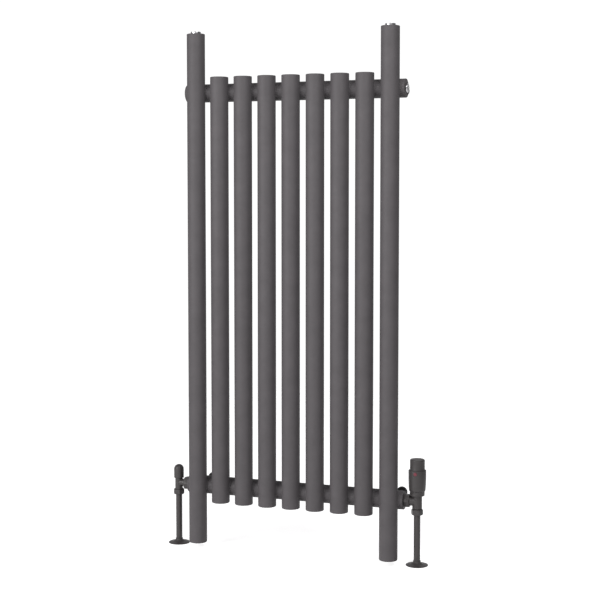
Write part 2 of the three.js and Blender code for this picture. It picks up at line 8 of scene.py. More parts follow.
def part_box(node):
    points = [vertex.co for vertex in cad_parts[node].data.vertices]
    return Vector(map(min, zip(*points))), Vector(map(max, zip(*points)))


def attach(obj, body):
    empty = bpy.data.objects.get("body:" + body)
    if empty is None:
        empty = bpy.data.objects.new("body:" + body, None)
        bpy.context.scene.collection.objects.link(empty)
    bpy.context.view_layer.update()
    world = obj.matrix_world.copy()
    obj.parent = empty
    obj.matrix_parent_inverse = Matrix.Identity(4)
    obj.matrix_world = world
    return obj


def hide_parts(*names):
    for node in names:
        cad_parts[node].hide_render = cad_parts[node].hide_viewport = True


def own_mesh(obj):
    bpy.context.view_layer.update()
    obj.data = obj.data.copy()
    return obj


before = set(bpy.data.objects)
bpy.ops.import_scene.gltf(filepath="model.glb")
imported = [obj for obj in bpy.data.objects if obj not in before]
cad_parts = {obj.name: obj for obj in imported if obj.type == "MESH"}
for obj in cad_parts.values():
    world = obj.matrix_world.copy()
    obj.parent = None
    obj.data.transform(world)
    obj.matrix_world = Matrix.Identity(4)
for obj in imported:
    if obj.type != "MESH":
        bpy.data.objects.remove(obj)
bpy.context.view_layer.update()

MM = 0.001
FINE = 96  # facets round a large tube
MEDIUM = 64
SMOOTH_LIMIT = math.radians(32)
ROOT = "radiator"
SIDES = ("left", "right")
LEVELS = ("lower", "upper")
TUBES = ["post_left"] + [f"tube_{i}" for i in range(1, 8)] + ["post_right"]


# ------------------------------------------------------------------ places from the frame

def low(node):
    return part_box(node)[0]


def high(node):
    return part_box(node)[1]


def middle(node):
    return (low(node) + high(node)) / 2


def span(node):
    return high(node) - low(node)


def side_reach(node, axis):
    """How near and how far a node lies from an upright axis, sideways, in mm."""
    ends = (abs(low(node).x - axis.x) / MM, abs(high(node).x - axis.x) / MM)
    return min(ends), max(ends)


# ------------------------------------------------------------------ mesh helpers

def new_object(name, mesh, material, body, slot, *replaced):
    """Puts a mesh in the scene, with its material, and makes it ride on a CAD body."""
    obj = bpy.data.objects.new(name, mesh)
    bpy.context.scene.collection.objects.link(obj)
    mesh.materials.clear()
    mesh.materials.append(material)
    smooth(mesh)
    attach(obj, body)
    if replaced:
        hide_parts(*replaced)
    return obj


def smooth(mesh, limit=SMOOTH_LIMIT):
    """Smooth faces, with a crease on each edge sharper than the limit."""
    work = bmesh.new()
    work.from_mesh(mesh)
    for face in work.faces:
        face.smooth = True
    for edge in work.edges:
        edge.smooth = len(edge.link_faces) != 2 or edge.calc_face_angle(0) < limit
    work.to_mesh(mesh)
    work.free()


def rounded(points, steps=5):
    """An outline of (radius, height, corner) points in mm, with an arc of that size at each corner."""
    outline = []
    for i, (radius, height, corner) in enumerate(points):
        if corner <= 0 or i in (0, len(points) - 1):
            outline.append((radius, height))
            continue
        here = Vector((radius, height))
        back = Vector(points[i - 1][:2]) - here
        ahead = Vector(points[i + 1][:2]) - here
        half = back.angle(ahead) / 2
        reach = min(corner / math.tan(half), back.length * 0.49, ahead.length * 0.49)
        arc = reach * math.tan(half)
        centre = here + (back.normalized() + ahead.normalized()).normalized() * (arc / math.sin(half))
        start = here + back.normalized() * reach - centre
        end = here + ahead.normalized() * reach - centre
        turn = math.atan2(start.x * end.y - start.y * end.x, start.dot(end))
        for k in range(steps + 1):
            angle = turn * k / steps
            x = start.x * math.cos(angle) - start.y * math.sin(angle)
            y = start.x * math.sin(angle) + start.y * math.cos(angle)
            outline.append((centre.x + x, centre.y + y))
    return outline


AXES = {
    "z": Matrix.Identity(4),
    "x": Matrix.Rotation(math.pi / 2, 4, "Y"),
    "-x": Matrix.Rotation(-math.pi / 2, 4, "Y"),
    "-y": Matrix.Rotation(math.pi / 2, 4, "X"),
    "y": Matrix.Rotation(-math.pi / 2, 4, "X"),
}


def turned(points, centre, axis="z", segments=MEDIUM, ring=False, wave=None):
    """A turned shape: (radius, height, corner) points in mm round an axis through centre, in m.
    ring joins the outline's ends, for a piece with a bore. wave(angle, height) adds to the radius."""
    outline = rounded(points)
    work = bmesh.new()
    rows = []
    for radius, height in outline:
        if radius < 1e-6:
            rows.append([work.verts.new((0, 0, height * MM))] * segments)
            continue
        row = []
        for k in range(segments):
            angle = 2 * math.pi * k / segments
            r = (radius + (wave(angle, height) if wave else 0)) * MM
            row.append(work.verts.new((r * math.cos(angle), r * math.sin(angle), height * MM)))
        rows.append(row)
    pairs = list(zip(rows, rows[1:]))
    if ring:
        pairs.append((rows[-1], rows[0]))
    for lower, upper in pairs:
        for k in range(segments):
            n = (k + 1) % segments
            corners = dict.fromkeys([lower[k], lower[n], upper[n], upper[k]])
            if len(corners) > 2:
                work.faces.new(list(corners))
    bmesh.ops.remove_doubles(work, verts=work.verts, dist=1e-7)
    bmesh.ops.recalc_face_normals(work, faces=work.faces)
    work.transform(Matrix.Translation(centre) @ AXES[axis])
    mesh = bpy.data.meshes.new("turned")
    work.to_mesh(mesh)
    work.free()
    return mesh


def dome(radius, base, top, steps=14):
    """The outline of a dome from its edge at base to its middle at top, in mm."""
    angles = [math.pi / 2 * i / steps for i in range(steps + 1)]
    return [(radius * math.cos(a), base + (top - base) * math.sin(a), 0) for a in angles[:-1]] + [(0, top, 0)]


def box_mesh(size, centre, turn=0.0):
    """A box of a size in mm, turned about Z and moved to centre, in m."""
    work = bmesh.new()
    bmesh.ops.create_cube(work, size=1)
    scale = Matrix.Diagonal((size[0] * MM, size[1] * MM, size[2] * MM, 1))
    work.transform(Matrix.Translation(centre) @ Matrix.Rotation(turn, 4, "Z") @ scale)
    mesh = bpy.data.meshes.new("box")
    work.to_mesh(mesh)
    work.free()
    return mesh


def combined(mesh, operation, others):
    """The mesh cut by or joined with the other meshes."""
    base = bpy.data.objects.new("base", mesh)
    bpy.context.scene.collection.objects.link(base)
    helpers = []
    for other in others:
        helper = bpy.data.objects.new("helper", other)
        bpy.context.scene.collection.objects.link(helper)
        helpers.append(helper)
        step = base.modifiers.new("step", "BOOLEAN")
        step.object = helper
        step.operation = operation
        step.solver = "EXACT"
    return baked(base, helpers)


def bevelled(mesh, width_mm, segments=3, limit=SMOOTH_LIMIT):
    """The mesh with its sharp edges rounded."""
    base = bpy.data.objects.new("base", mesh)
    bpy.context.scene.collection.objects.link(base)
    step = base.modifiers.new("step", "BEVEL")
    step.width = width_mm * MM
    step.segments = segments
    step.limit_method = "ANGLE"
    step.angle_limit = limit
    step.use_clamp_overlap = True
    return baked(base, [])


def cast(mesh, voxel_mm, rounds):
    """The mesh as a casting: one skin, with every corner and joint softened."""
    base = bpy.data.objects.new("base", mesh)
    bpy.context.scene.collection.objects.link(base)
    skin = base.modifiers.new("skin", "REMESH")
    skin.mode = "VOXEL"
    skin.voxel_size = voxel_mm * MM
    soften = base.modifiers.new("soften", "SMOOTH")
    soften.factor = 0.5
    soften.iterations = rounds
    return baked(base, [])


def baked(base, helpers):
    """Applies an object's modifiers, deletes the helper objects and returns the mesh."""
    graph = bpy.context.evaluated_depsgraph_get()
    mesh = bpy.data.meshes.new_from_object(base.evaluated_get(graph))
    for obj in [base, *helpers]:
        bpy.data.objects.remove(obj)
    return mesh


def hex_bar(across_flats, base, top, chamfer, centre, axis="z", turn=0.0):
    """A hexagonal bar with its corners turned off at both ends; sizes in mm."""
    corner = across_flats / math.sqrt(3)
    work = bmesh.new()
    rings = []
    for height in (base, top):
        angles = [turn + i * math.pi / 3 for i in range(6)]
        ring = [(corner * MM * math.cos(a), corner * MM * math.sin(a), height * MM) for a in angles]
        rings.append([work.verts.new(p) for p in ring])
    for i in range(6):
        n = (i + 1) % 6
        work.faces.new([rings[0][i], rings[0][n], rings[1][n], rings[1][i]])
    work.faces.new(rings[0][::-1])
    work.faces.new(rings[1])
    bmesh.ops.recalc_face_normals(work, faces=work.faces)
    work.transform(Matrix.Translation(centre) @ AXES[axis])
    mesh = bpy.data.meshes.new("hex")
    work.to_mesh(mesh)
    work.free()
    rim = across_flats / 2 - 0.3
    wide = corner + 0.3
    envelope = turned([(0, base, 0), (rim, base, 0), (wide, base + chamfer, 0), (wide, top - chamfer, 0),
                       (rim, top, 0), (0, top, 0)], centre, axis)
    return combined(mesh, "INTERSECT", [envelope])


def swept(points, radii, sides=12, closed=True):
    """A round section along points, in m, with a radius at each point, in m. It is a closed loop, or has two
    flat ends."""
    work = bmesh.new()
    count = len(points)
    rings = []
    for i, point in enumerate(points):
        before = points[i - 1] if closed or i > 0 else point
        after = points[(i + 1) % count] if closed or i + 1 < count else point
        along = (after - before).normalized()
        side = along.cross(Vector((0, 1, 0))) if closed else along.cross(Vector((0, 0, 1)))
        side = side.normalized() if side.length > 1e-6 else Vector((1, 0, 0))
        up = side.cross(along).normalized()
        ring = []
        for k in range(sides):
            angle = 2 * math.pi * k / sides
            offset = (side * math.cos(angle) + up * math.sin(angle)) * radii[i]
            ring.append(work.verts.new(point + offset))
        rings.append(ring)
    for i in range(count if closed else count - 1):
        lower, upper = rings[i], rings[(i + 1) % count]
        for k in range(sides):
            n = (k + 1) % sides
            work.faces.new([lower[k], lower[n], upper[n], upper[k]])
    if not closed:
        work.faces.new(rings[0])
        work.faces.new(rings[-1])
    bmesh.ops.recalc_face_normals(work, faces=work.faces)
    mesh = bpy.data.meshes.new("swept")
    work.to_mesh(mesh)
    work.free()
    return mesh


# ------------------------------------------------------------------ materials

def node_material(name):
    material = bpy.data.materials.new(name)
    material.use_nodes = True
    return material, material.node_tree.nodes, material.node_tree.links


def noise(nodes, links, scale, detail=3.0, rough=0.5, stretch=(1, 1, 1)):
    """A noise texture in object space; scale is in cells per metre."""
    place = nodes.new("ShaderNodeTexCoord")
    mapping = nodes.new("ShaderNodeMapping")
    mapping.inputs["Scale"].default_value = stretch
    texture = nodes.new("ShaderNodeTexNoise")
    texture.inputs["Scale"].default_value = scale
    texture.inputs["Detail"].default_value = detail
    texture.inputs["Roughness"].default_value = rough
    links.new(place.outputs["Object"], mapping.inputs["Vector"])
    links.new(mapping.outputs["Vector"], texture.inputs["Vector"])
    return texture.outputs["Fac"]


def ramp(nodes, links, value, stops):
    """A colour or grey ramp over a value; each stop is (position, colour)."""
    node = nodes.new("ShaderNodeValToRGB")
    for i, (position, colour) in enumerate(stops):
        if i < 2:
            element = node.color_ramp.elements[i]
            element.position = position
        else:
            element = node.color_ramp.elements.new(position)
        element.color = (*colour, 1)
    links.new(value, node.inputs["Fac"])
    return node.outputs["Color"]


def grey_ramp(nodes, links, value, start, end):
    """Maps a 0..1 value to start..end."""
    node = nodes.new("ShaderNodeMapRange")
    node.inputs["To Min"].default_value = start
    node.inputs["To Max"].default_value = end
    links.new(value, node.inputs["Value"])
    return node.outputs["Result"]


def bump(nodes, links, height, strength, distance_mm, below=None):
    node = nodes.new("ShaderNodeBump")
    node.inputs["Strength"].default_value = strength
    node.inputs["Distance"].default_value = distance_mm * MM
    links.new(height, node.inputs["Height"])
    if below is not None:
        links.new(below, node.inputs["Normal"])
    return node.outputs["Normal"]


def shade(colour, factor):
    return tuple(min(1.0, c * factor) for c in colour)


def coating(name, colour, rough, peel_mm, peel_strength, specular=0.4, coat=0.0):
    """Painted or powder-coated metal, or moulded plastic: mottled colour, soft orange peel, fine grit."""
    material, nodes, links = node_material(name)
    shader = nodes["Principled BSDF"]
    mottle = noise(nodes, links, 26, 4, 0.6)
    tone = ramp(nodes, links, mottle, [(0.3, shade(colour, 0.92)), (0.7, shade(colour, 1.08))])
    links.new(tone, shader.inputs["Base Color"])
    smudge = noise(nodes, links, 60, 5, 0.65)
    links.new(grey_ramp(nodes, links, smudge, rough - 0.07, rough + 0.07), shader.inputs["Roughness"])
    peel = noise(nodes, links, 1000 / peel_mm, 2, 0.45)
    grit = noise(nodes, links, 5200, 2, 0.6)
    under = bump(nodes, links, peel, peel_strength, 0.05)
    links.new(bump(nodes, links, grit, peel_strength * 0.5, 0.01, under), shader.inputs["Normal"])
    shader.inputs["Specular IOR Level"].default_value = specular
    shader.inputs["Coat Weight"].default_value = coat
    shader.inputs["Coat Roughness"].default_value = 0.3
    return material


def metal(name, colour, rough, lines_per_m, line_strength, stretch=(1, 1, 1)):
    """Machined or plated metal: tool lines, handling marks and slight tarnish."""
    material, nodes, links = node_material(name)
    shader = nodes["Principled BSDF"]
    shader.inputs["Metallic"].default_value = 1
    tarnish = noise(nodes, links, 90, 4, 0.6)
    tone = ramp(nodes, links, tarnish, [(0.3, shade(colour, 0.9)), (0.7, shade(colour, 1.04))])
    links.new(tone, shader.inputs["Base Color"])
    marks = noise(nodes, links, 400, 5, 0.7)
    links.new(grey_ramp(nodes, links, marks, rough * 0.6, rough * 1.5), shader.inputs["Roughness"])
    lines = noise(nodes, links, lines_per_m, 2, 0.5, stretch)
    links.new(bump(nodes, links, lines, line_strength, 0.01), shader.inputs["Normal"])
    return material


ANTHRACITE = (0.094, 0.087, 0.091)
VALVE_GREY = (0.043, 0.0385, 0.0385)
HEAD_GREY = (0.044, 0.040, 0.040)
# Wall feet: near-black, partly their own dark paint and partly painted shade of the header's shadow they sit
# in
FOOT_BLACK_AND_SHADE = (0.020, 0.020, 0.020)

POWDER = coating("powder_coat", ANTHRACITE, 0.58, 1.6, 0.16, 0.25)
VALVE_PAINT = coating("valve_paint", VALVE_GREY, 0.40, 1.1, 0.12, 0.4)
HEAD_PLASTIC = coating("head_plastic", HEAD_GREY, 0.45, 0.35, 0.20, 0.4)
DARK_PAINT_AND_SHADE = coating("dark_paint", FOOT_BLACK_AND_SHADE, 0.5, 1.2, 0.14, 0.3)
RED_ENAMEL = coating("red_enamel", (0.15, 0.012, 0.026), 0.3, 2.0, 0.05, 0.45, 0.3)
SENSOR_PLASTIC = coating("sensor_plastic", (0.72, 0.70, 0.64), 0.5, 0.4, 0.15, 0.4)
CHROME = metal("chrome_plate", (0.62, 0.62, 0.63), 0.2, 900, 0.06)
STEEL = metal("machined_steel", (0.52, 0.52, 0.53), 0.32, 2600, 0.2, (1, 1, 6))
BRASS = metal("machined_brass", (0.62, 0.44, 0.17), 0.3, 2600, 0.2, (1, 1, 6))


# ------------------------------------------------------------------ radiator body

HEADER_RADIUS = span("header_lower").z / 2 / MM
TUBE_RADIUS = span("tube_1").x / 2 / MM
WELD_RADIUS = 1.7
WELD_RIPPLE = 0.07  # share of the weld's radius
HEADER_BORE = 10.2  # radius inside a threaded boss, mm
BOSS_DEPTH = 13


def header_cutter(level):
    """The space that a header takes out of the tubes."""
    half = span(f"header_{level}").x / 2 / MM
    outline = [(0, -half, 0), (HEADER_RADIUS + 0.05, -half, 0), (HEADER_RADIUS + 0.05, half, 0), (0, half, 0)]
    return turned(outline, middle(f"header_{level}"), "x", FINE)


def make_tube(node):
    """A standing tube: rounded weld at each cap, a shallow groove inside it, saddles at the headers."""
    length = span(node).z / MM
    edge = TUBE_RADIUS
    outline = [(0, 0, 0), (edge - 4.2, 0, 0), (edge - 3.7, 0.15, 0.3), (edge - 3.2, 0, 0.3), (edge, 0, 1.6)]
    top = [(radius, length - height, corner) for radius, height, corner in reversed(outline)]
    base = Vector((middle(node).x, low(node).y + TUBE_RADIUS * MM, low(node).z))
    mesh = turned(outline + top, base, "z", FINE)
    mesh = combined(mesh, "DIFFERENCE", [header_cutter(level) for level in LEVELS])
    new_object(f"{node}_skin", mesh, POWDER, ROOT, "anthracite_paint", node)


def make_header(level):
    """A header with its end bosses: a rounded rim, a weld groove and the threaded mouth."""
    node = f"header_{level}"
    half = span(node).x / 2 / MM
    mouth = span(f"end_boss_{level}_left").z / 2 / MM
    bore = HEADER_BORE
    end = [(bore, half - BOSS_DEPTH, 0), (bore, half - 0.8, 0), (bore + 0.8, half, 0), (mouth - 0.6, half, 0),
           (mouth, half - 0.25, 0.3), (mouth + 0.6, half, 0.3), (HEADER_RADIUS, half, 1.1)]
    start = [(radius, -height, corner) for radius, height, corner in reversed(end)]
    outline = [(bore, BOSS_DEPTH - half, 0), *start[::-1][1:], *end[:0:-1], (bore, half - BOSS_DEPTH, 0)]
    mesh = turned(outline, middle(node), "x", FINE, ring=True)
    bosses = [f"end_boss_{level}_{side}" for side in SIDES]
    new_object(f"{node}_skin", mesh, POWDER, ROOT, "anthracite_paint", node, *bosses)


def saddle_points(node, level, count=160):
    """The closed seam where a standing tube meets a header."""
    tube = Vector((middle(node).x, low(node).y + TUBE_RADIUS * MM, 0))
    header = middle(f"header_{level}")
    offset = (header.y - tube.y) / MM
    reach = math.acos((offset - HEADER_RADIUS) / TUBE_RADIUS)
    seam = []
    for i in range(count):
        phase = 2 * math.pi * i / count
        angle = reach * math.cos(phase)
        y = TUBE_RADIUS * math.cos(angle) - offset
        rise = math.sqrt(max(0.0, HEADER_RADIUS ** 2 - y ** 2)) * (1 if math.sin(phase) >= 0 else -1)
        x = TUBE_RADIUS * math.sin(angle)
        seam.append(Vector((tube.x + x * MM, header.y + y * MM, header.z + rise * MM)))
    return seam


def evenly(points, count):
    """The closed loop again, with points at equal distances."""
    lengths = [0.0]
    loop = points + [points[0]]
    for a, b in zip(loop, loop[1:]):
        lengths.append(lengths[-1] + (b - a).length)
    result, k = [], 0
    for i in range(count):
        target = lengths[-1] * i / count
        while lengths[k + 1] < target:
            k += 1
        share = (target - lengths[k]) / max(1e-9, lengths[k + 1] - lengths[k])
        result.append(loop[k].lerp(loop[k + 1], share))
    return result


def make_weld(node, level):
    """The fillet weld round a tube's saddle, with the ripples that a weld pass leaves."""
    count = 180
    ripples = 60
    seam = evenly(saddle_points(node, level), count)
    phases = [2 * math.pi * ripples * i / count for i in range(count)]
    radii = [WELD_RADIUS * MM * (1 + WELD_RIPPLE * math.sin(phase)) for phase in phases]
    new_object(f"weld_{node}_{level}", swept(seam, radii), POWDER, ROOT, "anthracite_paint")


# ------------------------------------------------------------------ plugs

def make_post_plug(side):
    """Castellated chrome plug: a ring of teeth round a shallow well."""
    node = f"post_plug_{side}"
    seat = high(f"post_{side}").z + 0.3 * MM
    radius = span(node).x / 2 / MM
    height = (high(node).z - seat) / MM
    spigot = (low(node).z - seat) / MM
    floor = height - 2.2
    outline = [(0, spigot, 0), (8.2, spigot, 0.6), (8.2, 0, 0), (radius, 0, 0.4), (radius, height, 0.6),
               (7.5, height, 0.4), (7.5, floor, 0.8), (0, floor, 0)]
    centre = Vector((middle(node).x, middle(node).y, seat))
    mesh = turned(outline, centre, "z", MEDIUM)
    teeth = 8
    slot_size = (2 * radius + 2, 2.5, 4.4)
    slots = []
    for i in range(teeth // 2):
        slots.append(box_mesh(slot_size, centre + Vector((0, 0, height * MM)), 2 * math.pi * i / teeth))
    mesh = bevelled(combined(mesh, "DIFFERENCE", slots), 0.3)
    new_object(f"{node}_skin", mesh, CHROME, ROOT, "chrome", node)


def make_vent():
    """Air-vent plug in the upper right header end, with the slotted bleed screw in its middle."""
    base = Vector((high("header_upper").x, middle("vent_plug").y, middle("vent_plug").z))
    proud = (high("vent_plug").x - base.x) / MM
    radius = span("vent_plug").z / 2 / MM
    flange = [(1.2, -12.9, 0), (9.9, -12.9, 0), (9.9, 0.3, 0), (radius, 0.3, 0.3), (radius, proud, 1.4),
              (6.2, proud, 0.5), (5.6, proud - 0.7, 0.4), (3.1, proud - 0.7, 0.2), (3.1, -6, 0), (1.2, -9, 0)]
    mesh = turned(flange, base, "x", FINE, ring=True)
    new_object("vent_plug_skin", mesh, CHROME, ROOT, "chrome", "vent_plug")
    head = (high("bleed_screw").x - base.x) / MM
    screw = turned([(0, -8, 0), (3, -5.8, 0.3), (3, head, 0.5), (0, head, 0)], base, "x", MEDIUM)
    slot_centre = base + Vector(((head - 0.2) * MM, 0, 0))
    slot_mesh = box_mesh((2.4, 0.9, 8), slot_centre)
    mesh = bevelled(combined(screw, "DIFFERENCE", [slot_mesh]), 0.12, 2)
    new_object("bleed_screw_skin", mesh, CHROME, "bleed_screw", "chrome", "bleed_screw")


def make_blind_plug():
    """Flush painted plug with a hexagon socket, in the upper left header end."""
    base = Vector((low("header_upper").x, middle("blind_plug").y, middle("blind_plug").z))
    body = turned([(0, -12, 0), (9.9, -12, 0), (9.9, 0, 0.5), (0, 0, 0)], base, "-x", FINE)
    socket = hex_bar(10, -6, 1, 0.1, base, "-x")
    mesh = bevelled(combined(body, "DIFFERENCE", [socket]), 0.25, 2)
    new_object("blind_plug_skin", mesh, POWDER, ROOT, "anthracite_paint", "blind_plug")


# ------------------------------------------------------------------ wall fixings

def make_fixing(level, side):
    """Foot and stem from the wall, the lug welded on the header, and the screw that locks them."""
    stem_node = f"wall_stem_{level}_{side}"
    lug_node = f"wall_lug_{level}_{side}"
    screw_node = f"fixing_screw_{level}_{side}"
    wall = Vector((middle(stem_node).x, high(stem_node).y, middle(stem_node).z))
    foot = span(stem_node).z / 2 / MM
    reach = span(stem_node).y / MM
    outline = [(4, 0, 0), (foot, 0, 0.4), (foot, 8, 2.2), (8, 8, 1.2), (7.2, 10, 1), (6, 10.5, 0.5),
               (6, reach, 0.8), (0, reach, 0), (0, 12, 0), (4, 12, 0)]
    mesh = turned(outline, wall, "-y", MEDIUM, ring=True)
    # The foot's near-black colour is partly its dark paint, partly painted shade
    new_object(f"{stem_node}_skin", mesh, DARK_PAINT_AND_SHADE, ROOT, "dark_paint", stem_node)
    back = high(lug_node).y
    lug = turned([(6.3, 0, 0), (9, 0, 0.8), (9, 22, 0), (6.3, 22, 0)], Vector((wall.x, back, wall.z)), "-y",
                 MEDIUM, ring=True)
    hole_centre = Vector((wall.x, middle(screw_node).y, low(screw_node).z))
    hole = turned([(0, -2, 0), (2.8, -2, 0), (2.8, 6, 0), (0, 6, 0)], hole_centre, "z", 32)
    mesh = bevelled(combined(lug, "DIFFERENCE", [header_cutter(level), hole]), 0.25, 2)
    new_object(f"{lug_node}_skin", mesh, POWDER, ROOT, "anthracite_paint", lug_node)
    screw = turned([(0, 0, 0), (2.5, 0, 0.3), (2.5, 3.1, 0.3), (0, 3.1, 0)], hole_centre, "z", 32)
    socket = hex_bar(2.5, -1, 2, 0.05, hole_centre)
    mesh = combined(screw, "DIFFERENCE", [socket])
    new_object(f"{screw_node}_skin", mesh, STEEL, ROOT, "steel", screw_node)


# ------------------------------------------------------------------ both valves

PIPE_ENTRY = 7.8  # radius of the bore that takes the pipe, mm

# Outsides of the valve barrels and the bores inside them, as (radius, height, corner) in mm
TRV_BARREL = [(0, 121.5, 0), (9.4, 121.5, 0), (9.4, 128.5, 0), (11.15, 130.6, 0.4), (11.15, 160.6, 0.4),
              (13.5, 161.2, 0), (13.5, 167, 0), (0, 167, 0)]
TRV_WATERWAY = [(PIPE_ENTRY, 134.3, 0), (5.5, 134.3, 0), (5.5, 141, 0), (8.4, 142, 0), (8.4, 157, 0),
                (9.3, 157, 0)]
LOCKSHIELD_BARREL = [(0, 124.5, 0), (9.2, 124.5, 0), (9.0, 158.2, 0.4), (8.4, 158.4, 0), (8.4, 172, 0.4),
                     (0, 172, 0)]
LOCKSHIELD_WATERWAY = [(PIPE_ENTRY, 137, 0), (5, 137, 0), (5, 141, 0), (6.6, 142, 0), (6.6, 158, 0),
                       (6.3, 158, 0)]

def valve_axis(prefix):
    pipe = middle(f"{prefix}_pipe")
    return Vector((pipe.x, pipe.y, 0))


def make_pipe_and_rose(prefix):
    axis = valve_axis(prefix)
    pipe_top = high(f"{prefix}_pipe").z / MM
    pipe = turned([(6.5, 0, 0), (7.5, 0, 0.2), (7.5, pipe_top, 0.2), (6.5, pipe_top, 0)], axis, "z", MEDIUM,
                  ring=True)
    new_object(f"{prefix}_pipe_skin", pipe, VALVE_PAINT, ROOT, "valve_paint", f"{prefix}_pipe")
    edge = span(f"{prefix}_rose").x / 2 / MM
    top = high(f"{prefix}_rose").z / MM
    rose = turned([(7.8, 2.6, 0), (7.8, top, 0.4), (8.8, top, 0.5), (8.8, 7, 2.5), (14.5, 3.4, 8),
                   (20.5, 2.1, 8), (edge, 1.2, 0.5), (edge, 0, 0.25), (edge - 2, 0, 0.2),
                   (edge - 6, 0.8, 4), (13.5, 2.1, 4)], axis, "z", FINE, ring=True)
    new_object(f"{prefix}_rose_skin", rose, VALVE_PAINT, f"{prefix}_rose", "valve_paint", f"{prefix}_rose")


def make_compression_nut(prefix):
    node = f"{prefix}_compression_nut"
    axis = valve_axis(prefix)
    base, top = low(node).z / MM, high(node).z / MM
    nut = hex_bar(24, base, top, 2.2, axis, "z")
    bore = turned([(0, base - 1, 0), (7.8, base - 1, 0), (7.8, base + 3, 0), (9.9, base + 3, 0),
                   (9.9, top + 1, 0), (0, top + 1, 0)], axis, "z", MEDIUM)
    mesh = bevelled(combined(nut, "DIFFERENCE", [bore]), 0.35)
    new_object(f"{node}_skin", mesh, VALVE_PAINT, ROOT, "valve_paint", node)


def make_union_nut(prefix):
    node = f"{prefix}_union_nut"
    axis = valve_axis(prefix)
    toward = "-x" if axis.x > 0 else "x"
    centre = Vector((axis.x, axis.y, middle(node).z))
    near, far = side_reach(node, axis)
    nut = hex_bar(27, near, far, 1.6, centre, toward, math.pi / 6)
    bore = turned([(0, near - 1, 0), (12, near - 1, 0), (12, far - 1.7, 0), (10.2, far - 1.7, 0),
                   (10.2, far + 1, 0), (0, far + 1, 0)], centre, toward, MEDIUM)
    mesh = bevelled(combined(nut, "DIFFERENCE", [bore]), 0.35)
    new_object(f"{node}_skin", mesh, VALVE_PAINT, ROOT, "valve_paint", node)


def make_valve_body(prefix, outline, neck, waterway, branch_bore):
    """A forged angle body: the turned barrel and the side branch in one skin, hollow for the water, the pipe
    and the moving part in it."""
    node = f"{prefix}_body"
    axis = valve_axis(prefix)
    toward = "-x" if axis.x > 0 else "x"
    branch_centre = Vector((axis.x, axis.y, middle(f"{prefix}_union_nut").z))
    barrel = turned(outline, axis, "z", FINE)
    near = side_reach(f"{prefix}_union_nut", axis)[0]
    end = side_reach(node, axis)[1]
    branch = turned([(0, 0, 0), (neck, 0, 0), (neck, near - 1.5, 0), (neck + 0.8, near - 0.5, 0.2),
                     (11.5, near + 1, 0.2), (11.5, end, 0), (0, end, 0)], branch_centre, toward, MEDIUM)
    skin = cast(combined(barrel, "UNION", [branch]), 0.4, 5)
    lowest, highest = outline[0][1] - 1, outline[-1][1] + 1
    inside = [(0, lowest, 0), (PIPE_ENTRY, lowest, 0), *waterway, (waterway[-1][0], highest, 0),
              (0, highest, 0)]
    bores = [turned(inside, axis, "z", MEDIUM),
             turned([(0, 0, 0), (branch_bore, 0, 0), (branch_bore, end + 1, 0), (0, end + 1, 0)],
                    branch_centre, toward, MEDIUM)]
    mesh = combined(skin, "DIFFERENCE", bores)
    new_object(f"{node}_skin", mesh, VALVE_PAINT, ROOT, "valve_paint", node)


# ------------------------------------------------------------------ thermostatic head

def make_head():
    axis = valve_axis("trv")
    nut = [(14.8, 160.5, 0), (16.9, 160.5, 0.7), (16.9, 170.3, 0.7), (12.4, 170.3, 0.2), (12.4, 168.9, 0),
           (14.8, 168.9, 0)]
    flutes = 30

    def grip(angle, height):
        if not 161.5 < height < 169.5:
            return 0
        return -0.18 * (0.5 + 0.5 * math.cos(flutes * angle))

    nut_steps = [nut[0], nut[1], (16.9, 161.8, 0), (16.9, 165, 0), (16.9, 169, 0), *nut[2:]]
    mesh = turned(nut_steps, axis, "z", 240, ring=True, wave=grip)
    new_object("trv_ring_nut_skin", mesh, HEAD_PLASTIC, ROOT, "head_plastic", "trv_ring_nut")
    make_sleeve(axis)
    make_handwheel(axis)
    make_index_dot(axis)
    make_return_spring(axis)


def make_return_spring(axis):
    """The spring under the pin's button, a coil with closed ends."""
    node = "trv_return_spring"
    wire = 0.45 * MM
    base = low(node).z + wire
    height = high(node).z - wire - base
    radius = span(node).x / 2 - wire
    turns = 5
    steps = turns * 24
    points = []
    for i in range(steps + 1):
        share = i / steps
        angle = 2 * math.pi * turns * share
        rise = share - 0.5 * math.sin(2 * math.pi * share) / (2 * math.pi)  # closer turns at both ends
        points.append(Vector((axis.x + radius * math.cos(angle), axis.y + radius * math.sin(angle),
                              base + height * rise)))
    mesh = swept(points, [wire] * len(points), closed=False)
    smooth(mesh)
    spring = new_object(f"{node}_coil", mesh, STEEL, ROOT, "steel", node)
    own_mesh(spring)


def make_sleeve(axis):
    top = high("trv_sleeve").z / MM
    wide = span("trv_sleeve").x / 2 / MM
    outline = [(10.5, 167.4, 0), (13.8, 167.4, 0), (13.8, 168.6, 0), (12, 168.6, 0), (12, 170.6, 0),
               (17.5, 170.6, 0.6), (18.7, 172.4, 2), (19.3, 180, 20), (19.8, 190, 30), (wide, 202, 30),
               (wide, top, 1.0), (17.4, top, 0.5), (17.4, 184, 0.5), (12.5, 181, 1), (10.5, 178, 0)]
    mesh = turned(outline, axis, "z", FINE, ring=True)
    dot = middle("trv_index_dot")
    radius = span("trv_index_dot").z / 2 / MM + 0.25
    front = Vector((axis.x, axis.y, dot.z))
    pocket = turned([(0, 18.4, 0), (radius, 18.4, 0), (radius, 22, 0), (0, 22, 0)], front, "-y", MEDIUM)
    mesh = combined(mesh, "DIFFERENCE", [pocket])
    new_object("trv_sleeve_skin", mesh, HEAD_PLASTIC, ROOT, "head_plastic", "trv_sleeve")


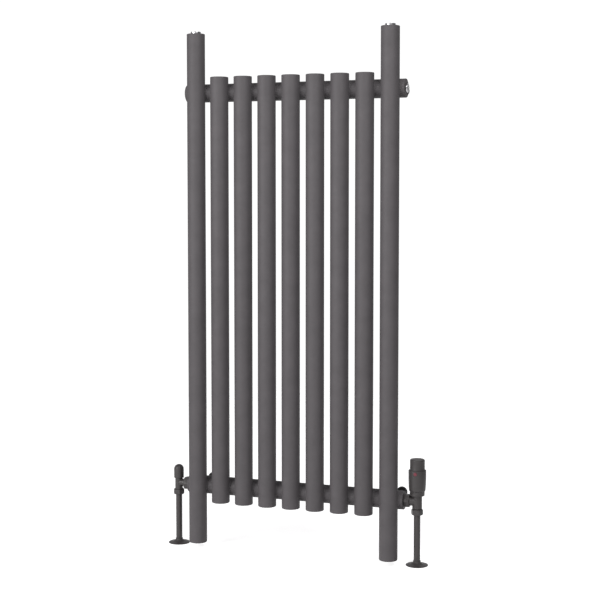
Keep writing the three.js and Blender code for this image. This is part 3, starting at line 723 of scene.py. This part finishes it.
def make_index_dot(axis):
    """A domed red enamel dot in its pocket at the front of the sleeve."""
    dot = middle("trv_index_dot")
    radius = span("trv_index_dot").z / 2 / MM
    front = Vector((axis.x, axis.y, dot.z))
    reach = (axis.y - low("trv_index_dot").y) / MM
    outline = [(0, 18.6, 0), (radius, 18.6, 0.2), (radius, reach - 0.35, 0.5),
               (radius * 0.6, reach - 0.05, 4), (0, reach, 0)]
    mesh = turned(outline, front, "-y", MEDIUM)
    new_object("trv_index_dot_skin", mesh, RED_ENAMEL, ROOT, "index_red", "trv_index_dot")


def make_handwheel(axis):
    """The turning half of the head: a fluted grip, a soft top edge and a shallow dished top."""
    node = "trv_handwheel"
    top = high(node).z / MM
    base = low(node).z / MM
    edge = span(node).x / 2 / MM
    sleeve_top = high("trv_sleeve").z / MM
    flutes = 40

    def grip(angle, height):
        if not sleeve_top + 3.5 < height < top - 4:
            return 0
        return -0.16 * (0.5 + 0.5 * math.cos(flutes * angle))

    outline = [(0, top - 4, 0), (14.2, top - 5, 1), (14.2, base, 0), (edge, base, 0.3),
               (edge, sleeve_top + 3.4, 0), (edge, sleeve_top + 3.8, 0), (edge, top - 4.4, 0),
               (edge, top - 3.9, 0), (edge, top - 1.6, 1.2), (edge - 1.6, top, 1.0), (12.5, top, 0.6),
               (11.6, top - 0.5, 0.6), (0, top - 0.5, 0)]
    mesh = turned(outline, axis, "z", 320, wave=grip)
    new_object(f"{node}_skin", mesh, HEAD_PLASTIC, node, "head_plastic", node)


# ------------------------------------------------------------------ lockshield top

def make_lockshield_top():
    axis = valve_axis("lockshield")
    top = high("lockshield_cap").z / MM
    base = low("lockshield_cap").z / MM
    edge = span("lockshield_cap").x / 2 / MM
    hollow = list(reversed(dome(edge - 2.65, top - edge, top - 2.6)))
    cap = turned([*hollow, (edge - 2.65, base, 0.3), (edge, base, 0.7), *dome(edge, top - edge, top)],
                 axis, "z", FINE)
    new_object("lockshield_cap_skin", cap, HEAD_PLASTIC, "lockshield_cap", "head_plastic", "lockshield_cap")
    bonnet = turned([(3.1, 158.3, 0), (6, 158.3, 0.3), (6, 171.5, 0.5), (3.1, 171.5, 0.3)], axis, "z", MEDIUM,
                    ring=True)
    new_object("lockshield_bonnet_skin", bonnet, BRASS, ROOT, "brass", "lockshield_bonnet")
    spindle = turned([(0, 143, 0), (3.5, 143, 0.3), (5.6, 146, 0.4), (5.6, 150, 0.3), (3, 150, 0.2),
                      (3, 178, 0.5), (0, 178, 0)], axis, "z", MEDIUM)
    slot_mesh = box_mesh((1.2, 8, 4), axis + Vector((0, 0, 177.5 * MM)))
    mesh = combined(spindle, "DIFFERENCE", [slot_mesh])
    new_object("lockshield_spindle_skin", mesh, BRASS, "lockshield_spindle", "brass", "lockshield_spindle")


# ------------------------------------------------------------------ pieces that stay hidden inside

INNER = {
    BRASS: ["trv_insert", "trv_tail", "trv_olive", "lockshield_tail", "lockshield_olive"],
    STEEL: ["trv_pin"],
    SENSOR_PLASTIC: ["trv_sensor"],
}


def finish_inner_nodes():
    for material, nodes in INNER.items():
        for node in nodes:
            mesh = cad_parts[node].data
            mesh.materials.clear()
            mesh.materials.append(material)


# ------------------------------------------------------------------ stage, light and camera

FLOOR_FADE = (0.7, 3.0)  # distances over which the floor fades out, m


def make_floor():
    """A pale floor that fades into the white surroundings."""
    work = bmesh.new()
    bmesh.ops.create_circle(work, cap_ends=True, segments=96, radius=7)
    work.transform(Matrix.Translation((0, 0, -0.0003)))
    mesh = bpy.data.meshes.new("floor")
    work.to_mesh(mesh)
    work.free()
    material, nodes, links = node_material("floor_white")
    shader = nodes["Principled BSDF"]
    shader.inputs["Base Color"].default_value = (0.9, 0.9, 0.9, 1)
    shader.inputs["Roughness"].default_value = 0.9
    shader.inputs["Emission Color"].default_value = (1, 1, 1, 1)
    shader.inputs["Emission Strength"].default_value = 0.68
    place = nodes.new("ShaderNodeTexCoord")
    distance = nodes.new("ShaderNodeVectorMath")
    distance.operation = "LENGTH"
    links.new(place.outputs["Object"], distance.inputs[0])
    fade = nodes.new("ShaderNodeMapRange")
    fade.interpolation_type = "SMOOTHSTEP"
    fade.inputs["From Min"].default_value = FLOOR_FADE[0]
    fade.inputs["From Max"].default_value = FLOOR_FADE[1]
    links.new(distance.outputs["Value"], fade.inputs["Value"])
    clear = nodes.new("ShaderNodeBsdfTransparent")
    mix = nodes.new("ShaderNodeMixShader")
    links.new(fade.outputs["Result"], mix.inputs["Fac"])
    links.new(shader.outputs["BSDF"], mix.inputs[1])
    links.new(clear.outputs["BSDF"], mix.inputs[2])
    links.new(mix.outputs["Shader"], nodes["Material Output"].inputs["Surface"])
    mesh.materials.append(material)
    floor = bpy.data.objects.new("floor", mesh)
    bpy.context.scene.collection.objects.link(floor)
    floor.visible_diffuse = False


def make_world():
    """White surroundings to the eye. The light they give comes from the room, less from the wall's side
    and least from above."""
    world = bpy.data.worlds.new("studio")
    bpy.context.scene.world = world
    world.use_nodes = True
    nodes, links = world.node_tree.nodes, world.node_tree.links
    seen = nodes["Background"]
    seen.inputs["Color"].default_value = (1, 1, 1, 1)
    seen.inputs["Strength"].default_value = 1.05
    given = nodes.new("ShaderNodeBackground")
    given.inputs["Color"].default_value = (1.0, 0.985, 1.0, 1)
    place = nodes.new("ShaderNodeTexCoord")
    parts = nodes.new("ShaderNodeSeparateXYZ")
    links.new(place.outputs["Generated"], parts.inputs["Vector"])
    depth = nodes.new("ShaderNodeMapRange")
    depth.inputs["From Min"].default_value = -1
    links.new(parts.outputs["Y"], depth.inputs["Value"])
    stops = [(share, (level,) * 3) for share, level in ROOM_LIGHT]
    glow = ramp(nodes, links, depth.outputs["Result"], stops)
    side = nodes.new("ShaderNodeMapRange")
    side.inputs["To Min"].default_value = 1.0
    side.inputs["To Max"].default_value = RIGHT_DIMMING
    links.new(parts.outputs["X"], side.inputs["Value"])
    strength = nodes.new("ShaderNodeMath")
    strength.operation = "MULTIPLY"
    links.new(glow, strength.inputs[0])
    links.new(side.outputs["Result"], strength.inputs[1])
    links.new(strength.outputs["Value"], given.inputs["Strength"])
    path = nodes.new("ShaderNodeLightPath")
    mix = nodes.new("ShaderNodeMixShader")
    links.new(path.outputs["Is Camera Ray"], mix.inputs["Fac"])
    links.new(given.outputs["Background"], mix.inputs[1])
    links.new(seen.outputs["Background"], mix.inputs[2])
    links.new(mix.outputs["Shader"], nodes["World Output"].inputs["Surface"])


def add_light(name, place, target, size, power):
    data = bpy.data.lights.new(name, "AREA")
    data.shape = "RECTANGLE"
    data.size, data.size_y = size
    data.energy = power
    light = bpy.data.objects.new(name, data)
    light.location = place
    light.rotation_euler = (Vector(target) - Vector(place)).to_track_quat("-Z", "Y").to_euler()
    bpy.context.scene.collection.objects.link(light)


# Brightness of the surroundings by direction, from the room's side (0) over straight up and sideways
# (0.5) to the wall's side (1)
ROOM_LIGHT = ((0.0, 0.85), (0.25, 0.55), (0.5, 0.17), (1.0, 0.6))
RIGHT_DIMMING = 0.45  # share of that brightness that is left straight to the right


def make_lights():
    make_world()
    add_light("key", (-1.8, -2.8, 1.4), (0, -0.1, 0.7), (1.6, 1.8), 67)
    add_light("fill", (1.5, -1.6, 2.5), (0.3, -0.1, 1.1), (0.8, 0.8), 34)


CAMERA_PLACE = (1.0447, -2.9633, 0.8469)
CAMERA_YAW = math.radians(-19.674)
CAMERA_PITCH = math.radians(3.643)  # downwards
CAMERA_LENS = 79.6  # mm, on a 36 mm sensor
CAMERA_SHIFT = -0.04


def make_camera():
    """Slightly right of the radiator's middle at chest height, looking a little down and to the left."""
    place = Vector(CAMERA_PLACE)
    yaw, pitch = CAMERA_YAW, CAMERA_PITCH
    forward = Vector((math.sin(yaw) * math.cos(pitch), math.cos(yaw) * math.cos(pitch), -math.sin(pitch)))
    data = bpy.data.cameras.new("camera")
    data.sensor_width = 36
    data.lens = CAMERA_LENS
    data.shift_y = CAMERA_SHIFT
    camera = bpy.data.objects.new("camera", data)
    camera.location = place
    camera.rotation_euler = forward.to_track_quat("-Z", "Y").to_euler()
    bpy.context.scene.collection.objects.link(camera)
    bpy.context.scene.camera = camera


# ------------------------------------------------------------------ build

make_camera()
for tube_node in TUBES:
    make_tube(tube_node)
for level in LEVELS:
    make_header(level)
    for tube_node in TUBES:
        make_weld(tube_node, level)
    for side in SIDES:
        make_fixing(level, side)
for side in SIDES:
    make_post_plug(side)
make_vent()
make_blind_plug()
for valve in ("trv", "lockshield"):
    make_pipe_and_rose(valve)
    make_compression_nut(valve)
    make_union_nut(valve)
make_valve_body("trv", TRV_BARREL, 11, TRV_WATERWAY, 6)
make_valve_body("lockshield", LOCKSHIELD_BARREL, 8.7, LOCKSHIELD_WATERWAY, 5.2)
make_head()
make_lockshield_top()
finish_inner_nodes()
make_floor()
make_lights()

bpy.context.scene.view_settings.view_transform = "Standard"
